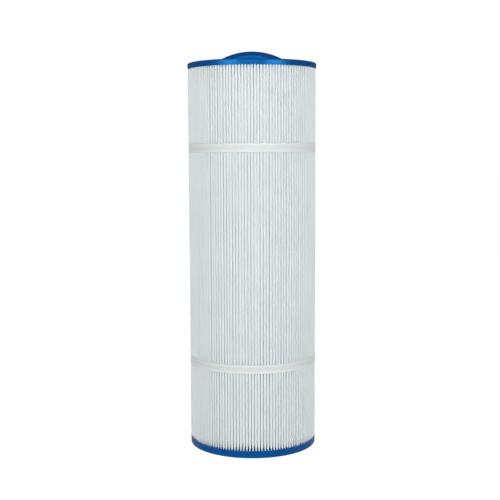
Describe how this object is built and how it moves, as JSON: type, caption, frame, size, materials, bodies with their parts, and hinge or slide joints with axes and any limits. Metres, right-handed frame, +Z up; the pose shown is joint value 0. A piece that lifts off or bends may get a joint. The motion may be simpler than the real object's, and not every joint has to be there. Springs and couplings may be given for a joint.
{
  "type": "filter cartridge",
  "caption": "Cylindrical pleated water filter cartridge with a closed top cap and arch handle, an open bottom cap, retaining bands and a slotted core.",
  "frame": {"origin": "centre of the bottom cap's rest face", "axes": "+Z up the cartridge's long axis, from the outlet to the handle; X along the handle; -Y is the front"},
  "size_m": [0.1328, 0.1328, 0.4094],
  "materials": {
    "cap_plastic": "cast urethane, satin gloss",
    "handle_plastic": "moulded urethane, satin gloss",
    "core_plastic": "moulded polypropylene, matte",
    "filter_media": "spunbonded polyester, matte",
    "seam_glue": "hot-melt glue, satin",
    "band_strap": "woven polyester strap, matte"
  },
  "bodies": {
    "root": {"top_end_cap": "cap_plastic", "lift_handle": "handle_plastic", "bottom_end_cap": "cap_plastic", "core_section_lower": "core_plastic", "core_section_middle": "core_plastic", "core_section_upper": "core_plastic", "pleated_media": "filter_media", "media_seam_bead": "seam_glue", "band_upper": "band_strap", "band_lower": "band_strap"}
  },
  "joints": []
}
